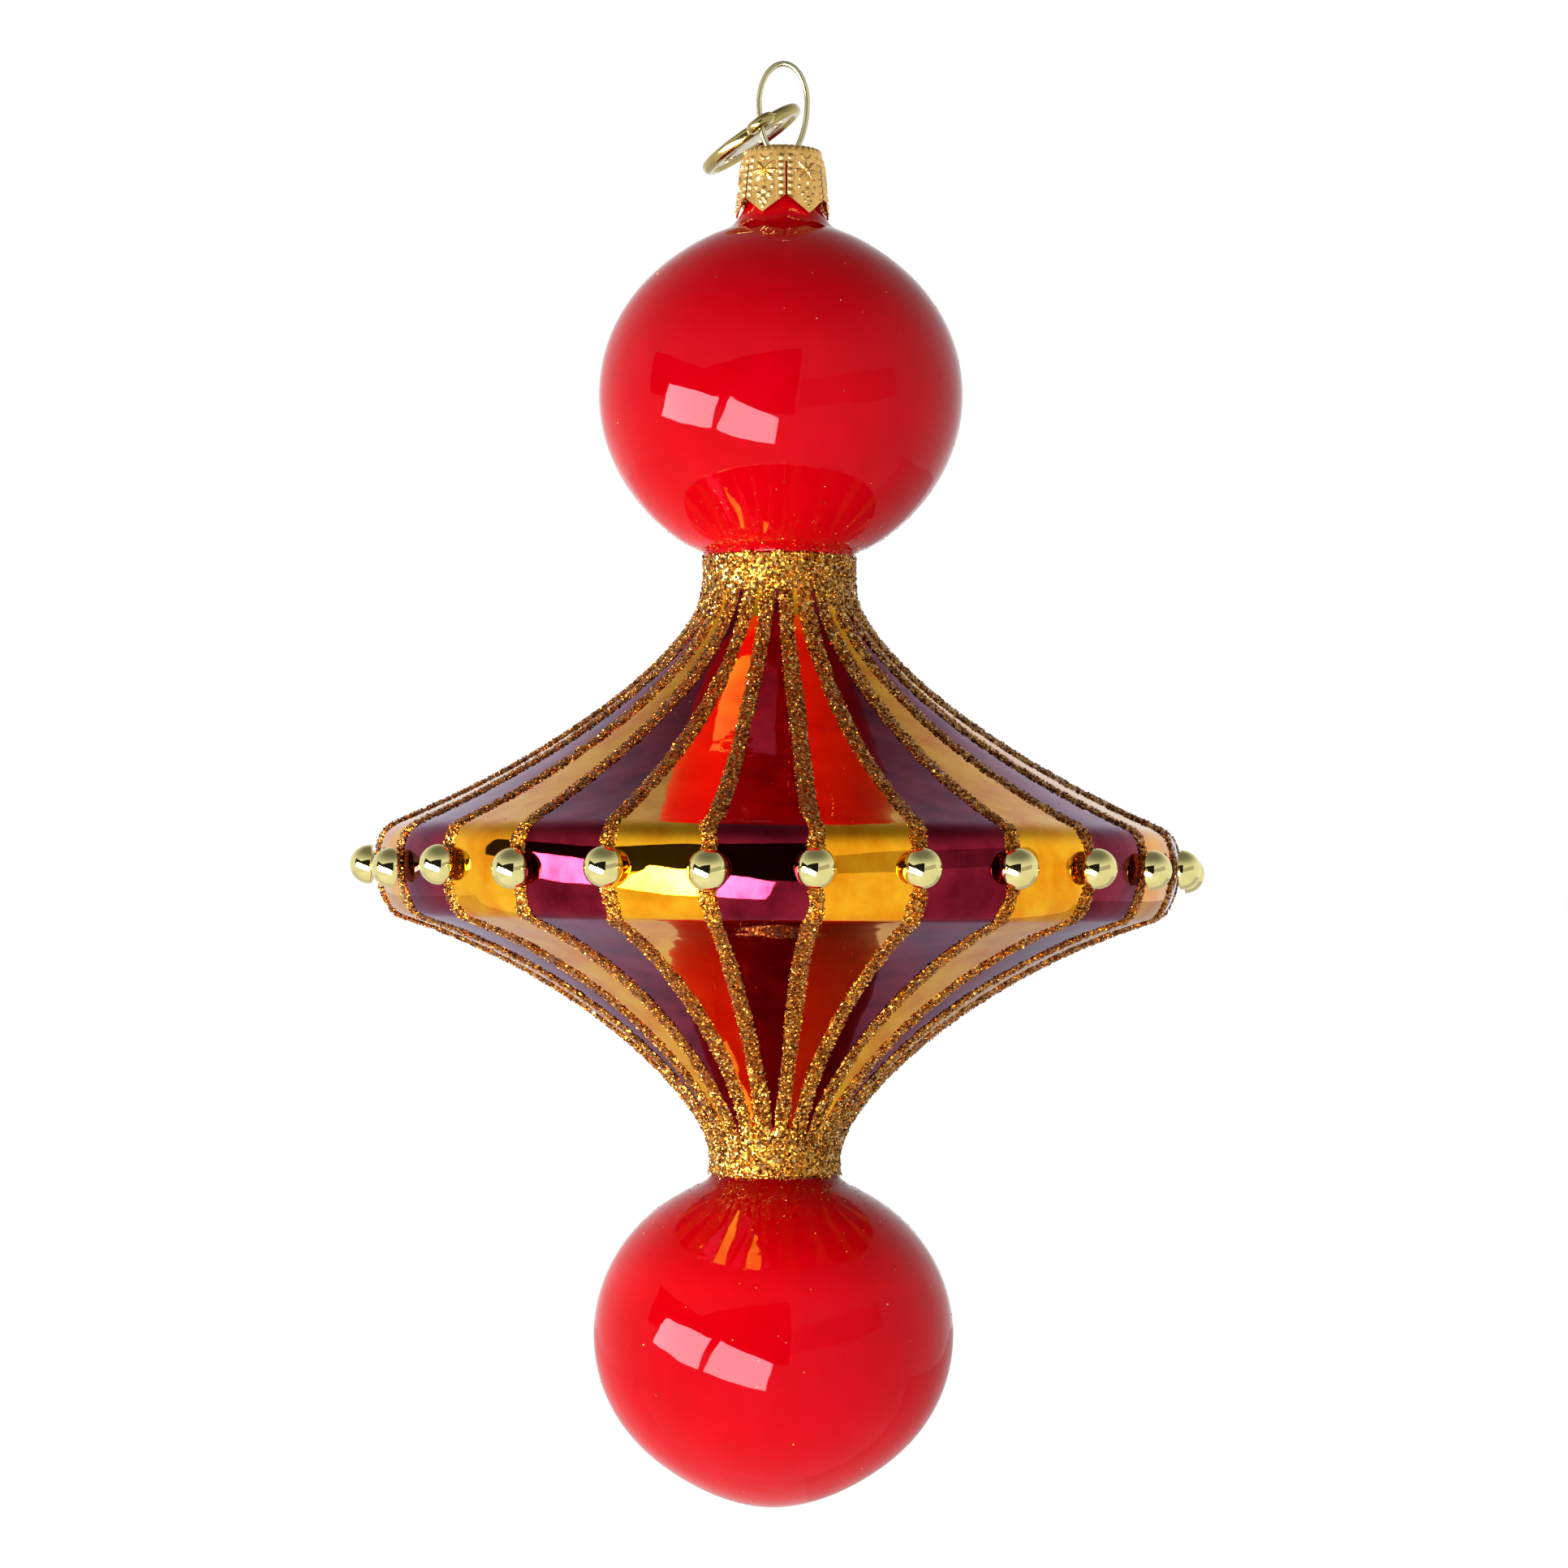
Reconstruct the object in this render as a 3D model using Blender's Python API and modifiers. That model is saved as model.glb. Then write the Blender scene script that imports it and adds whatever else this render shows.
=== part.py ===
"""Blown glass drop ornament with a stamped cap, a sprung wire hanger and a round tag.

The world origin is the hanging point, inside the top of the wire loop. +Z is up, and the
ornament's front faces -Y. Heights in this file count from the plane of the bead ring.
"""

import math
import random

import bmesh
import bpy
from mathutils import Matrix, Vector

# Clearances
GAP = 0.0003                  # between two pieces that touch on the real ornament
WIRE_PLAY = 0.0003            # round the wire in the cap's holes and in the tag's lug
FACET_PLAY = 0.00005          # what the flats of a faceted round shape can take off a gap

# Glass body: radii, and the steps that stack up from the bead ring
WALL = 0.0008
RIM_RADIUS = 0.0497
RIM_WIDEST = 0.0005           # height of the rim's widest place
RIM_TOP = 0.0059              # heights of the rim's two shoulders
RIM_FOOT = -0.0060
RIM_TOP_INSET = 0.0037        # how far the shoulders lie inside the rim
RIM_FOOT_INSET = 0.0028
UPPER_WAIST_RADIUS = 0.0091
UPPER_WAIST_HEIGHT = 0.0358
LOWER_WAIST_RADIUS = 0.0077
LOWER_WAIST_HEIGHT = -0.0360
BALL_SHOULDER = 0.757         # from a ball's middle to its lower shoulder, in ball radii
UPPER_BALL_RADIUS = 0.02265
UPPER_BALL_CROWN = 0.768      # from its middle to its upper shoulder, in ball radii
UPPER_BALL_STEP = 0.00585     # from the upper waist to the ball's lower shoulder
LOWER_BALL_RADIUS = 0.0224
LOWER_BALL_CROWN = 0.732
LOWER_BALL_FOOT = 0.9665      # from its middle to its lowest place, in ball radii
LOWER_BALL_STEP = 0.00535     # from the lower waist to the ball's upper shoulder
NECK_STEP = 0.0057            # from the upper ball's upper shoulder to the foot of the neck
NECK_LENGTH = 0.00705
NECK_RADIUS = 0.0044
NECK_FOOT_FLARE = 0.0005
NECK_LIP = 0.00035            # bevel round the neck's top, clear of the cap's rounded shoulder

# Glitter
COLLAR_THICKNESS = 0.0004
UPPER_COLLAR_TOP = 0.0390
UPPER_COLLAR_FOOT = 0.0337
LOWER_COLLAR_TOP = -0.0333
LOWER_COLLAR_FOOT = -0.0379
LINE_COUNT = 26
LINE_WIDTH = 0.0019
LINE_THICKNESS = 0.00035
LINE_SIDE_GAP = 0.0003        # between neighbours where the lines crowd at the waists
LINE_WOBBLE = 0.0005          # how far a hand-drawn line strays sideways
FIRST_LINE = math.radians(5.0)

# Beads
BEAD_RADIUS = 0.0024
BEAD_HEIGHT = 0.00245
BEAD_WOBBLE = 0.0003          # how far a bead is glued above or below the rim's middle

# Cap
CAP_SHEET = 0.00025
PETAL_REACH = 0.00075         # of the petal tips below the foot of the neck
CAP_SHOULDER = 0.0011         # radius of the rounded edge round its top
PETAL_COUNT = 6
FIRST_SLIT = math.radians(5.0)
SLIT_WIDTH = 0.00025
SLIT_TOP = 0.0022             # below the cap's top
NOTCH_HEIGHT = 0.0021         # of the V between two petals
NOTCH_OVERRUN = 0.001         # of its cutter below the tips

# Hanger
WIRE_RADIUS = 0.00035
LOOP_HALF_WIDTH = 0.0030      # to the wire's centre line
LOOP_RISE = 0.0105            # inside of the loop's top above the cap
LOOP_CROWN = 0.0049           # centre line's top above the widest place
LOOP_DROP = 0.0069            # lower quarter of the loop, to where it would close
LEG_LENGTH = 0.0140           # below the cap's top
LEG_BARREL = 0.0070           # below the cap's top, where the legs are widest
LEG_PULL = 0.35               # handle length of the legs' curves, in barrel depths
LEG_TOE = 0.75                # half the distance between the leg ends, in widest half-spreads
LEG_TOE_SLOPE = 0.35          # how far a leg end leans inwards for each metre down

# Tag
TAG_RADIUS = 0.00725
TAG_THICKNESS = 0.0015
TAG_RIM = 0.0010
TAG_RECESS = 0.0003
LUG_RADIUS = 0.0014           # to the middle of the ring's bar
LUG_BAR = 0.00055
LUG_REACH = 0.00115           # from the medallion's edge to the lug's centre
TAG_HEIGHT = 0.0034           # lug above the cap's top
TAG_ROLL = math.radians(34.0)
TAG_PITCH = math.radians(2.5)
TAG_YAW = math.radians(8.0)

# How finely the round shapes are faceted
TURN_STEPS = 36
CAP_STEPS = 48
LOOP_STEPS = 9                # along each quarter of the loop
LONGEST_STEP = 0.0075
SHARPEST_TURN = math.radians(17.0)
INNER_TURN = math.radians(32.0)

# Heights that follow from the stack
UPPER_BALL_HEIGHT = UPPER_WAIST_HEIGHT + UPPER_BALL_STEP + BALL_SHOULDER * UPPER_BALL_RADIUS
LOWER_BALL_HEIGHT = LOWER_WAIST_HEIGHT - LOWER_BALL_STEP - LOWER_BALL_CROWN * LOWER_BALL_RADIUS
NECK_FOOT = UPPER_BALL_HEIGHT + UPPER_BALL_CROWN * UPPER_BALL_RADIUS + NECK_STEP
NECK_TOP = NECK_FOOT + NECK_LENGTH
CAP_TOP = NECK_TOP + GAP + CAP_SHEET
HANG_HEIGHT = CAP_TOP + LOOP_RISE
CAP_TOP_RADIUS = NECK_RADIUS + GAP + CAP_SHEET + FACET_PLAY
CAP_SKIRT = CAP_TOP - NECK_FOOT + PETAL_REACH

# Colours
RED = (0.75, 0.0, 0.01, 1.0)
PALE_GOLD = (0.79, 0.75, 0.42, 1.0)
WARM_GOLD = (0.86, 0.62, 0.24, 1.0)
GLITTER = (0.62, 0.38, 0.08, 1.0)


def clear_scene():
    for thing in list(bpy.data.objects):
        bpy.data.objects.remove(thing, do_unlink=True)


def new_collection(name):
    group = bpy.data.collections.new(name)
    bpy.context.scene.collection.children.link(group)
    return group


def new_material(name, colour, metallic, roughness):
    material = bpy.data.materials.new(name)
    material.use_nodes = True
    shader = material.node_tree.nodes["Principled BSDF"]
    shader.inputs["Base Color"].default_value = colour
    shader.inputs["Metallic"].default_value = metallic
    shader.inputs["Roughness"].default_value = roughness
    return material


def new_object(name, data, group, material=None, parent=None, place=(0.0, 0.0, 0.0)):
    """A named object in its collection, at its place in the world or under its parent."""
    thing = bpy.data.objects.new(name, data)
    group.objects.link(thing)
    thing.parent = parent
    thing.location = place
    if material is not None and not data.materials:
        data.materials.append(material)
    return thing


def smooth(data, angle=math.radians(40.0)):
    data.shade_smooth()
    data.set_sharp_from_angle(angle=angle)


# Outline of the glass


def glass_knots():
    """Each knot is radius, height, heading in degrees, and handle lengths before and after."""
    big, small = UPPER_BALL_RADIUS, LOWER_BALL_RADIUS
    high, low = UPPER_BALL_HEIGHT, LOWER_BALL_HEIGHT
    return [
        (NECK_RADIUS, NECK_TOP, -90.0, 0.0, 0.55 * NECK_LENGTH),
        (NECK_RADIUS + NECK_FOOT_FLARE, NECK_FOOT, -62.0, 0.0018, 0.0040),
        (0.578 * big, high + UPPER_BALL_CROWN * big, -35.0, 0.0068, 0.260 * big),
        (big, high, -90.0, 0.368 * big, 0.308 * big),
        (0.600 * big, high - BALL_SHOULDER * big, -143.1, 0.287 * big, 0.0059),
        (UPPER_WAIST_RADIUS, UPPER_WAIST_HEIGHT, -90.0, 0.0055, 0.0085),
        (RIM_RADIUS - RIM_TOP_INSET, RIM_TOP, -23.5, 0.0205, 0.0028),
        (RIM_RADIUS, RIM_WIDEST, -90.0, 0.0039, 0.0022),
        (RIM_RADIUS - RIM_FOOT_INSET, RIM_FOOT, -162.7, 0.0020, 0.0242),
        (LOWER_WAIST_RADIUS, LOWER_WAIST_HEIGHT, -90.0, 0.0065, 0.0037),
        (0.585 * small, low + LOWER_BALL_CROWN * small, -32.6, 0.0054, 0.356 * small),
        (small, low, -90.0, 0.235 * small, 0.257 * small),
        (0.580 * small, low - BALL_SHOULDER * small, -145.5, 0.387 * small, 0.276 * small),
        (0.0, low - LOWER_BALL_FOOT * small, -180.0, 0.147 * small, 0.0),
    ]


def bezier(start, start_pull, end_pull, end, count):
    """Points along one cubic curve, without its last point."""
    points = []
    for step in range(count):
        t = step / count
        s = 1.0 - t
        points.append(s**3 * start + 3 * s * s * t * start_pull + 3 * s * t * t * end_pull + t**3 * end)
    return points


def curve_through(knots, count=60):
    """A smooth run of cubic curves from the first knot to the last."""
    points = []
    for one, two in zip(knots, knots[1:]):
        a, b = Vector(one[:2]), Vector(two[:2])
        leave = Vector((math.cos(math.radians(one[2])), math.sin(math.radians(one[2]))))
        arrive = Vector((math.cos(math.radians(two[2])), math.sin(math.radians(two[2]))))
        points += bezier(a, a + leave * one[4], b - arrive * two[3], b, count)
    points.append(Vector(knots[-1][:2]))
    return points


def outward(points, index):
    """The outline's normal: an outline that runs downwards has its outside on +X."""
    before, after = points[max(index - 1, 0)], points[min(index + 1, len(points) - 1)]
    along = (after - before).normalized()
    return Vector((-along.y, along.x))


def stations(points, longest, sharpest):
    """Indices of the outline's points that a faceted copy needs."""
    chosen, last = [0], 0
    for index in range(1, len(points) - 1):
        here, there = outward(points, last), outward(points, index + 1)
        turn = abs(here.angle(there, 0.0))
        if (points[index + 1] - points[last]).length > longest or turn > sharpest:
            chosen.append(index)
            last = index
    return chosen + [len(points) - 1]


OUTLINE = curve_through(glass_knots())
OUTER = stations(OUTLINE, LONGEST_STEP, SHARPEST_TURN)


def lifted(index, lift):
    """Radius and height of a place that stands off the glass."""
    return OUTLINE[index] + outward(OUTLINE, index) * lift


def index_at(height):
    return min(range(len(OUTLINE)), key=lambda i: abs(OUTLINE[i].y - height))


def places_between(top, foot, end_gap=0.0):
    """Indices from one height down to another, kept a gap short at both ends."""
    first, last = index_at(top), index_at(foot)
    while (OUTLINE[first] - OUTLINE[index_at(top)]).length < end_gap:
        first += 1
    while (OUTLINE[last] - OUTLINE[index_at(foot)]).length < end_gap:
        last -= 1
    return [first] + [i for i in OUTER if first + 4 < i < last - 4] + [last]


# Shapes


def turned(name, outline, group, material, steps, closed=False, **where):
    """A profile spun round the Z axis. It runs down its outer side."""
    data = bpy.data.meshes.new(name)
    form = bmesh.new()
    ring = [form.verts.new((p[0], 0.0, p[1])) for p in outline]
    for one, two in zip(ring, ring[1:]):
        form.edges.new((one, two))
    if closed:
        form.edges.new((ring[-1], ring[0]))
    form.to_mesh(data)
    form.free()
    thing = new_object(name, data, group, material, **where)
    screw = thing.modifiers.new("Turn", "SCREW")
    screw.axis = "Z"
    screw.angle = math.tau
    screw.steps = screw.render_steps = steps
    screw.use_merge_vertices = True
    screw.merge_threshold = 0.00001
    screw.use_smooth_shade = True
    return thing


def cut(thing, cutter, operation="DIFFERENCE"):
    step = thing.modifiers.new(cutter.name, "BOOLEAN")
    step.operation = operation
    step.solver = "EXACT"
    step.object = cutter
    cutter.hide_render = True
    cutter.display_type = "WIRE"


def make_glass(group, material):
    inner_from = stations(OUTLINE, 2.0 * LONGEST_STEP, INNER_TURN)
    inside = [lifted(i, -WALL) for i in inner_from]
    inside[0] = Vector((NECK_RADIUS - WALL, NECK_TOP))
    inside[-1] = Vector((0.0, OUTLINE[-1].y + WALL))
    lip = [Vector((NECK_RADIUS - NECK_LIP, NECK_TOP)), Vector((NECK_RADIUS, NECK_TOP - NECK_LIP))]
    outside = lip + [OUTLINE[i] for i in OUTER[1:]]
    return turned(
        "glass_body", inside[::-1] + outside, group, material, TURN_STEPS,
        place=(0.0, 0.0, -HANG_HEIGHT),
    )


def make_collar(name, top, foot, group, material, parent):
    places = places_between(top, foot)
    outside = [lifted(i, GAP + COLLAR_THICKNESS) for i in places]
    inside = [lifted(i, GAP) for i in places]
    return turned(name, outside + inside[::-1], group, material, TURN_STEPS, closed=True, parent=parent)


def line_azimuth(number):
    return FIRST_LINE + number * math.tau / LINE_COUNT


def make_line(number, group, material, parent):
    """A ribbon that lies along a meridian of the glass, from collar to collar."""
    rng = random.Random(number)
    places = places_between(UPPER_COLLAR_FOOT, LOWER_COLLAR_TOP, GAP)
    phase, waves = rng.uniform(0.0, math.tau), rng.uniform(2.5, 4.0)
    data = bpy.data.meshes.new(f"glitter_line_{number + 1:02d}")
    form = bmesh.new()
    edges = []
    for i in places:
        along = (i - places[0]) / (places[-1] - places[0])
        base = lifted(i, GAP)
        pitch = math.tau * base.x / LINE_COUNT
        half = 0.5 * min(LINE_WIDTH, pitch - LINE_SIDE_GAP)
        steady = math.sin(math.pi * along) * abs(math.cos(math.pi * along))
        stray = LINE_WOBBLE * steady * math.sin(phase + waves * math.tau * along)
        edges.append([form.verts.new((base.x, stray + side * half, base.y)) for side in (-1.0, 1.0)])
    for one, two in zip(edges, edges[1:]):
        form.faces.new((one[0], two[0], two[1], one[1]))
    form.normal_update()
    form.to_mesh(data)
    form.free()
    thing = new_object(data.name, data, group, material, parent=parent)
    thing.rotation_euler.z = line_azimuth(number) - math.pi / 2.0
    ribbon = thing.modifiers.new("Thickness", "SOLIDIFY")
    ribbon.thickness = LINE_THICKNESS
    ribbon.offset = 1.0
    ribbon.use_even_offset = True
    return thing


def bead_mesh():
    """A flat-backed half-round bead: its dome stands on +X."""
    data = bpy.data.meshes.new("bead")
    form = bmesh.new()
    bmesh.ops.create_uvsphere(form, u_segments=12, v_segments=8, radius=1.0)
    everything = form.verts[:] + form.edges[:] + form.faces[:]
    cuts = bmesh.ops.bisect_plane(
        form, geom=everything, plane_co=(0.0, 0.0, 0.0), plane_no=(0.0, 0.0, 1.0),
        clear_inner=True, dist=0.0001,
    )
    rim = [part for part in cuts["geom_cut"] if isinstance(part, bmesh.types.BMEdge)]
    bmesh.ops.contextual_create(form, geom=rim)
    size = Matrix.Diagonal((BEAD_RADIUS, BEAD_RADIUS, BEAD_HEIGHT, 1.0))
    bmesh.ops.transform(form, matrix=Matrix.Rotation(math.pi / 2.0, 4, "Y") @ size, verts=form.verts)
    bmesh.ops.recalc_face_normals(form, faces=form.faces)
    form.to_mesh(data)
    form.free()
    smooth(data)
    return data


def make_beads(group, material, parent):
    data = bead_mesh()
    rng = random.Random(5)
    seat = RIM_RADIUS + GAP + LINE_THICKNESS + GAP
    for number in range(LINE_COUNT):
        azimuth = line_azimuth(number) - math.pi / 2.0
        height = rng.uniform(-BEAD_WOBBLE, BEAD_WOBBLE)
        place = (seat * math.cos(azimuth), seat * math.sin(azimuth), height)
        bead = new_object(f"bead_{number + 1:02d}", data, group, material, parent, place)
        bead.rotation_euler.z = azimuth


def hole_at():
    """Distance of the wire from the axis where it goes through the cap's top."""
    return loop_point(CAP_TOP - 0.5 * CAP_SHEET).x


def petal_tip_radius():
    """Outside of the petals' tips, a gap clear of the glass that swells beneath them."""
    index = index_at(CAP_TOP - CAP_SKIRT)
    return OUTLINE[index].x + GAP / outward(OUTLINE, index).x + FACET_PLAY + CAP_SHEET


def cap_outline():
    """A closed profile: down the outside, back up the inside. Its zero is the cap's top."""
    top, sheet = CAP_TOP_RADIUS, CAP_SHEET
    bend = top - CAP_SHOULDER
    arcs = [math.radians(a) for a in (90.0, 60.0, 30.0, 0.0)]
    outside = [(bend + CAP_SHOULDER * math.cos(a), CAP_SHOULDER * (math.sin(a) - 1.0)) for a in arcs]
    outside.append((petal_tip_radius(), -CAP_SKIRT))
    curl = CAP_SHOULDER - sheet
    inside = [(bend + curl * math.cos(a), curl * math.sin(a) - CAP_SHOULDER) for a in reversed(arcs)]
    inside.insert(0, (petal_tip_radius() - sheet, -CAP_SKIRT))
    return [(0.0, 0.0)] + outside + inside + [(0.0, -sheet)]


def petal_cutter(group, azimuth, parent):
    """A slit that opens downwards into a V, as deep as the skirt."""
    reach = petal_tip_radius()
    notch = NOTCH_HEIGHT - CAP_SKIRT
    wide = reach * math.sin(math.pi / PETAL_COUNT)
    slope = wide / NOTCH_HEIGHT
    half = 0.5 * SLIT_WIDTH
    spread = wide + NOTCH_OVERRUN * slope
    corners = [(half, -SLIT_TOP), (half, notch), (spread, -CAP_SKIRT - NOTCH_OVERRUN)]
    corners += [(-x, z) for x, z in reversed(corners)]
    data = bpy.data.meshes.new("petal_cutter")
    form = bmesh.new()
    face = form.faces.new([form.verts.new((0.5 * reach, x, z)) for x, z in corners])
    swept = bmesh.ops.extrude_face_region(form, geom=[face])["geom"]
    moved = [v for v in swept if isinstance(v, bmesh.types.BMVert)]
    bmesh.ops.translate(form, verts=moved, vec=(reach, 0.0, 0.0))
    bmesh.ops.recalc_face_normals(form, faces=form.faces)
    form.to_mesh(data)
    form.free()
    cutter = new_object("petal_cutter", data, group, parent=parent)
    cutter.rotation_euler.z = azimuth - math.pi / 2.0
    return cutter


def hole_cutter(group, x, parent):
    data = bpy.data.meshes.new("hole_cutter")
    form = bmesh.new()
    lean = math.atan2(abs(loop_heading(CAP_TOP).x), abs(loop_heading(CAP_TOP).y))
    radius = WIRE_RADIUS / math.cos(lean) + 0.5 * CAP_SHEET * math.tan(lean) + WIRE_PLAY
    bmesh.ops.create_cone(
        form, cap_ends=True, segments=16, radius1=radius, radius2=radius, depth=6.0 * CAP_SHEET,
    )
    form.to_mesh(data)
    form.free()
    return new_object("hole_cutter", data, group, parent=parent, place=(x, 0.0, -0.5 * CAP_SHEET))


def make_cap(group, cutters, material):
    cap = turned("cap", cap_outline(), group, material, CAP_STEPS, place=(0.0, 0.0, CAP_TOP - HANG_HEIGHT))
    for number in range(PETAL_COUNT):
        azimuth = FIRST_SLIT + number * math.tau / PETAL_COUNT
        cut(cap, petal_cutter(cutters, azimuth, cap))
    for side in (-1.0, 1.0):
        cut(cap, hole_cutter(cutters, side * hole_at(), cap))
    return cap


# Hanger


def loop_widest():
    return HANG_HEIGHT + WIRE_RADIUS - LOOP_CROWN


def loop_point(height):
    """The right-hand side of the loop below its widest place, as an ellipse."""
    fall = (loop_widest() - height) / LOOP_DROP
    return Vector((LOOP_HALF_WIDTH * math.sqrt(1.0 - fall * fall), height))


def loop_heading(height):
    """The direction down the loop's right-hand side."""
    fall = (loop_widest() - height) / LOOP_DROP
    level = math.sqrt(1.0 - fall * fall)
    return Vector((-LOOP_HALF_WIDTH * fall, -LOOP_DROP * level)).normalized()


def half_wire():
    """From the loop's top down the right-hand side to the end of that leg."""
    points = []
    for step in range(LOOP_STEPS):
        angle = math.pi / 2.0 * (1.0 - step / LOOP_STEPS)
        x, rise = LOOP_HALF_WIDTH * math.cos(angle), LOOP_CROWN * math.sin(angle)
        points.append(Vector((x, loop_widest() + rise)))
    for step in range(LOOP_STEPS):
        points.append(loop_point(loop_widest() + (CAP_TOP - loop_widest()) * step / LOOP_STEPS))
    spread = NECK_RADIUS - WALL - GAP - WIRE_RADIUS - FACET_PLAY
    start, knee = loop_point(CAP_TOP), Vector((spread, CAP_TOP - LEG_BARREL))
    foot = Vector((LEG_TOE * spread, CAP_TOP - LEG_LENGTH))
    pull = LEG_PULL * LEG_BARREL
    down = Vector((0.0, -1.0))
    points += bezier(start, start + loop_heading(CAP_TOP) * pull, knee - down * pull, knee, 8)
    inward = Vector((-LEG_TOE_SLOPE, -1.0)).normalized()
    points += bezier(knee, knee + down * pull, foot - inward * pull, foot, 5)
    return points + [foot]


def make_hanger(group, material):
    right = half_wire()
    left = [Vector((-p.x, p.y)) for p in right[:0:-1]]
    points = left + right
    data = bpy.data.curves.new("hanger", "CURVE")
    data.dimensions = "3D"
    data.bevel_depth = WIRE_RADIUS
    data.bevel_resolution = 2
    data.use_fill_caps = True
    spline = data.splines.new("POLY")
    spline.points.add(len(points) - 1)
    for knot, point in zip(spline.points, points):
        knot.co = (point.x, 0.0, point.y, 1.0)
    return new_object("hanger", data, group, material, place=(0.0, 0.0, -HANG_HEIGHT))


# Tag


def tag_outline():
    """The medallion's profile, with a raised rim round both faces. Its zero is its middle."""
    half, floor = 0.5 * TAG_THICKNESS, 0.5 * TAG_THICKNESS - TAG_RECESS
    soft = 0.2 * TAG_THICKNESS
    upper = [
        (0.0, floor), (TAG_RADIUS - TAG_RIM - TAG_RECESS, floor), (TAG_RADIUS - TAG_RIM, half),
        (TAG_RADIUS - soft, half), (TAG_RADIUS, half - soft),
    ]
    return upper + [(r, -z) for r, z in reversed(upper)]


def make_tag(group, cutters, material):
    """The tag's origin is the lug's centre, on the wire that it swings about."""
    wire = loop_point(CAP_TOP + TAG_HEIGHT)
    reach = TAG_RADIUS + LUG_REACH
    outline = tag_outline()
    tag = turned("tag", outline, group, material, TURN_STEPS)
    bpy.ops.mesh.primitive_torus_add(
        major_segments=20, minor_segments=8, major_radius=LUG_RADIUS, minor_radius=LUG_BAR,
    )
    ring = bpy.context.active_object
    lug = new_object("lug", ring.data.copy(), cutters, parent=tag, place=(0.0, -reach, 0.0))
    bpy.data.objects.remove(ring, do_unlink=True)
    cut(tag, lug, "UNION")
    turn = Matrix.Rotation(-TAG_ROLL, 4, "Y") @ Matrix.Rotation(TAG_PITCH, 4, "X")
    turn = turn @ Matrix.Rotation(TAG_YAW, 4, "Z")
    hook = bpy.data.objects.new("tag_pivot", None)
    group.objects.link(hook)
    hook.matrix_world = Matrix.Translation((-wire.x, 0.0, wire.y - HANG_HEIGHT)) @ turn
    tag.parent = hook
    tag.location = (0.0, reach, 0.0)
    return tag


def main():
    clear_scene()
    ornament = new_collection("drop_ornament")
    cutters = new_collection("cutters")
    red_glass = new_material("red_lacquered_glass", RED, 0.0, 0.06)
    glitter = new_material("gold_glitter", GLITTER, 0.8, 0.45)
    bead_gold = new_material("bead_gold", PALE_GOLD, 1.0, 0.08)
    cap_gold = new_material("cap_gold", WARM_GOLD, 1.0, 0.22)
    wire_gold = new_material("wire_gold", PALE_GOLD, 1.0, 0.18)
    tag_gold = new_material("tag_gold", PALE_GOLD, 1.0, 0.20)

    glass = make_glass(ornament, red_glass)
    make_collar("upper_glitter_collar", UPPER_COLLAR_TOP, UPPER_COLLAR_FOOT, ornament, glitter, glass)
    make_collar("lower_glitter_collar", LOWER_COLLAR_TOP, LOWER_COLLAR_FOOT, ornament, glitter, glass)
    for number in range(LINE_COUNT):
        make_line(number, ornament, glitter, glass)
    make_beads(ornament, bead_gold, glass)
    make_hanger(ornament, wire_gold)
    make_cap(ornament, cutters, cap_gold)
    make_tag(ornament, cutters, tag_gold)


main()
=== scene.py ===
import math
import random

import bpy
import numpy as np
from mathutils import Matrix, Vector


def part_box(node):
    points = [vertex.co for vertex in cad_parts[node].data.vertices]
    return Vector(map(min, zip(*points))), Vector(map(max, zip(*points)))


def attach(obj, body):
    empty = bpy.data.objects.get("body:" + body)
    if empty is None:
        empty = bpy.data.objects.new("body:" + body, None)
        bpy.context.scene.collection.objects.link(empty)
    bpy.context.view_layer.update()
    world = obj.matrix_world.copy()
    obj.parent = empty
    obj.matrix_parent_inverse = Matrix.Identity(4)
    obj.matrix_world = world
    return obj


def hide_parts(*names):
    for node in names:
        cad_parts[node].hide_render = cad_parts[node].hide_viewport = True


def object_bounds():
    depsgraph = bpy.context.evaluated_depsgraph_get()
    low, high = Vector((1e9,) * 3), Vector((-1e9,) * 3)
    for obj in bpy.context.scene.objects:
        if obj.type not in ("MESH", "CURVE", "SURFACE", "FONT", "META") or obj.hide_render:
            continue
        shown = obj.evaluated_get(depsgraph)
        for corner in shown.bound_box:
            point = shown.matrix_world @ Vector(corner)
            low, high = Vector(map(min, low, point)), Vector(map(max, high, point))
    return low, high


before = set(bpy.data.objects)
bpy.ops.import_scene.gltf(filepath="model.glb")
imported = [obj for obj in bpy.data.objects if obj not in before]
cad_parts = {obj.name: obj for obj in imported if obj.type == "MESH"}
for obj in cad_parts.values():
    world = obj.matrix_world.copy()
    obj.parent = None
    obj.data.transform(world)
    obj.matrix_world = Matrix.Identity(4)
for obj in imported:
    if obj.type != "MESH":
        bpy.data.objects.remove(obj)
cadLow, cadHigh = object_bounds()
print("frame loaded:", len(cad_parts), "nodes")

millimetre = 0.001
glassLow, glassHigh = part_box("glass_body")
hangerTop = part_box("hanger")[1].z
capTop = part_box("cap")[1].z
beadNames = sorted(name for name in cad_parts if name.startswith("bead_"))
lineNames = sorted(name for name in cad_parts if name.startswith("glitter_line_"))
panelCount = len(lineNames)
panelPitch = math.tau / panelCount
firstLine = math.radians(5.0)


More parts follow.
